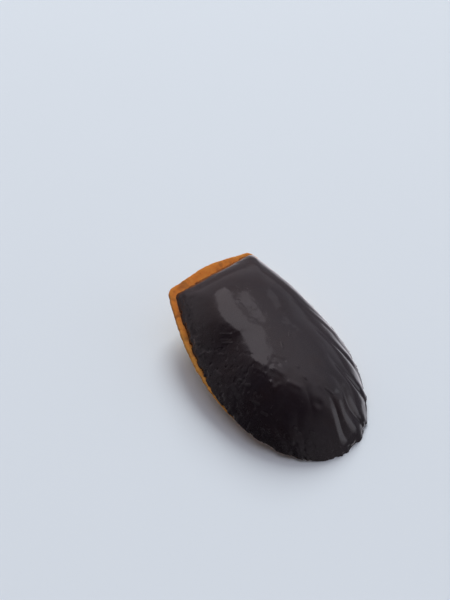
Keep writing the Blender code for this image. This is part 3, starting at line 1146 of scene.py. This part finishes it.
def light_the_room(look):
    """Makes the room's light the world of the scene."""
    world = bpy.data.worlds.new("room")
    world.use_nodes = True
    paint = Paint(world.node_tree)
    tint, level = room_light(paint, look)
    shader = paint.add("ShaderNodeBackground", None, {"Color": tint, "Strength": level})
    paint.add("ShaderNodeOutputWorld", None, {"Surface": shader})
    bpy.context.scene.world = world

    lamp = bpy.data.lights.new("key_lamp", "AREA")
    lamp.shape = "DISK"
    lamp.size = KEY_SIZE
    lamp.color = KEY_COLOUR
    lamp.energy = look.key * KEY_WATTS
    key = bpy.data.objects.new("key_lamp", lamp)
    away = Vector(KEY_FROM).normalized()
    key.location = away * KEY_DISTANCE
    key.rotation_euler = away.to_track_quat("Z", "Y").to_euler()
    key.visible_camera = False
    key.visible_glossy = False
    bpy.context.scene.collection.objects.link(key)


def add_table(look):
    """Round table top, which the gloss doesn't show, and a wall round it that only the camera sees."""
    around = [2 * math.pi * k / TABLE_SIDES for k in range(TABLE_SIDES)]
    ring = [(TABLE_RADIUS * math.cos(turn), TABLE_RADIUS * math.sin(turn), 0.0) for turn in around]
    top = bpy.data.meshes.new("table_top")
    top.from_pydata(ring, [], [tuple(range(TABLE_SIDES))])
    top.materials.append(table_material(look))
    table = bpy.data.objects.new("table_top", top)

    high = [(x, y, 2 * TABLE_RADIUS) for x, y, _ in ring]
    sides = [
        (k, TABLE_SIDES + k, TABLE_SIDES + (k + 1) % TABLE_SIDES, (k + 1) % TABLE_SIDES)
        for k in range(TABLE_SIDES)
    ]
    roof = tuple(range(2 * TABLE_SIDES - 1, TABLE_SIDES - 1, -1))
    wall = bpy.data.meshes.new("backdrop")
    wall.from_pydata(ring + high, [], sides + [roof])
    wall.materials.append(backdrop_material(look))
    backdrop = bpy.data.objects.new("backdrop", wall)
    for hidden_from in ("diffuse", "glossy", "transmission", "volume_scatter", "shadow"):
        setattr(backdrop, f"visible_{hidden_from}", False)
    table.visible_glossy = False
    for item in (table, backdrop):
        bpy.context.scene.collection.objects.link(item)


def add_camera(look):
    """Camera over the wide end, looking down along the cake."""
    lens = bpy.data.cameras.new("camera")
    lens.lens = look.lens
    lens.sensor_width = SENSOR_WIDTH
    lens.clip_start = CLIP_START
    camera = bpy.data.objects.new("camera", lens)
    camera.location = CAMERA_PLACE
    camera.rotation_euler = [math.radians(value) for value in CAMERA_TURN]
    bpy.context.scene.collection.objects.link(camera)
    bpy.context.scene.camera = camera


class MADELEINE_OT_studio(Operator):
    """Make the table, the lights and the camera"""

    bl_idname = "madeleine.studio"
    bl_label = "Studio"

    def execute(self, context):
        look = context.scene.madeleine_studio
        light_the_room(look)
        add_table(look)
        add_camera(look)
        context.scene.view_settings.view_transform = "Standard"
        return {"FINISHED"}


class MADELEINE_PT_panel(Panel):
    """Lists what makes the madeleine"""

    bl_idname = "MADELEINE_PT_panel"
    bl_label = "Madeleine"
    bl_space_type = "VIEW_3D"
    bl_region_type = "UI"
    bl_category = "Madeleine"

    def draw(self, context):
        for operator in OPERATORS:
            self.layout.operator(operator.bl_idname)
        for name in SETTINGS:
            group = getattr(context.scene, name)
            box = self.layout.box()
            for setting in type(group).__annotations__:
                box.prop(group, setting)


SETTINGS = {
    "madeleine_form": CakeForm,
    "madeleine_chocolate": ChocolateLook,
    "madeleine_sponge": SpongeLook,
    "madeleine_studio": StudioLook,
}
OPERATORS = (MADELEINE_OT_case, MADELEINE_OT_sponge, MADELEINE_OT_studio)


def register():
    """Adds the settings, the operators and the panel."""
    for group in SETTINGS.values():
        bpy.utils.register_class(group)
    for name, group in SETTINGS.items():
        setattr(bpy.types.Scene, name, PointerProperty(type=group))
    for kind in (*OPERATORS, MADELEINE_PT_panel):
        bpy.utils.register_class(kind)


def unregister():
    """Takes them away again."""
    for kind in (*OPERATORS, MADELEINE_PT_panel):
        bpy.utils.unregister_class(kind)
    for name, group in SETTINGS.items():
        delattr(bpy.types.Scene, name)
        bpy.utils.unregister_class(group)


def main():
    """Makes the cake and its studio."""
    register()
    bpy.ops.madeleine.case()
    bpy.ops.madeleine.sponge()
    bpy.ops.madeleine.studio()
    bpy.context.view_layer.update()


if __name__ == "__main__":
    main()
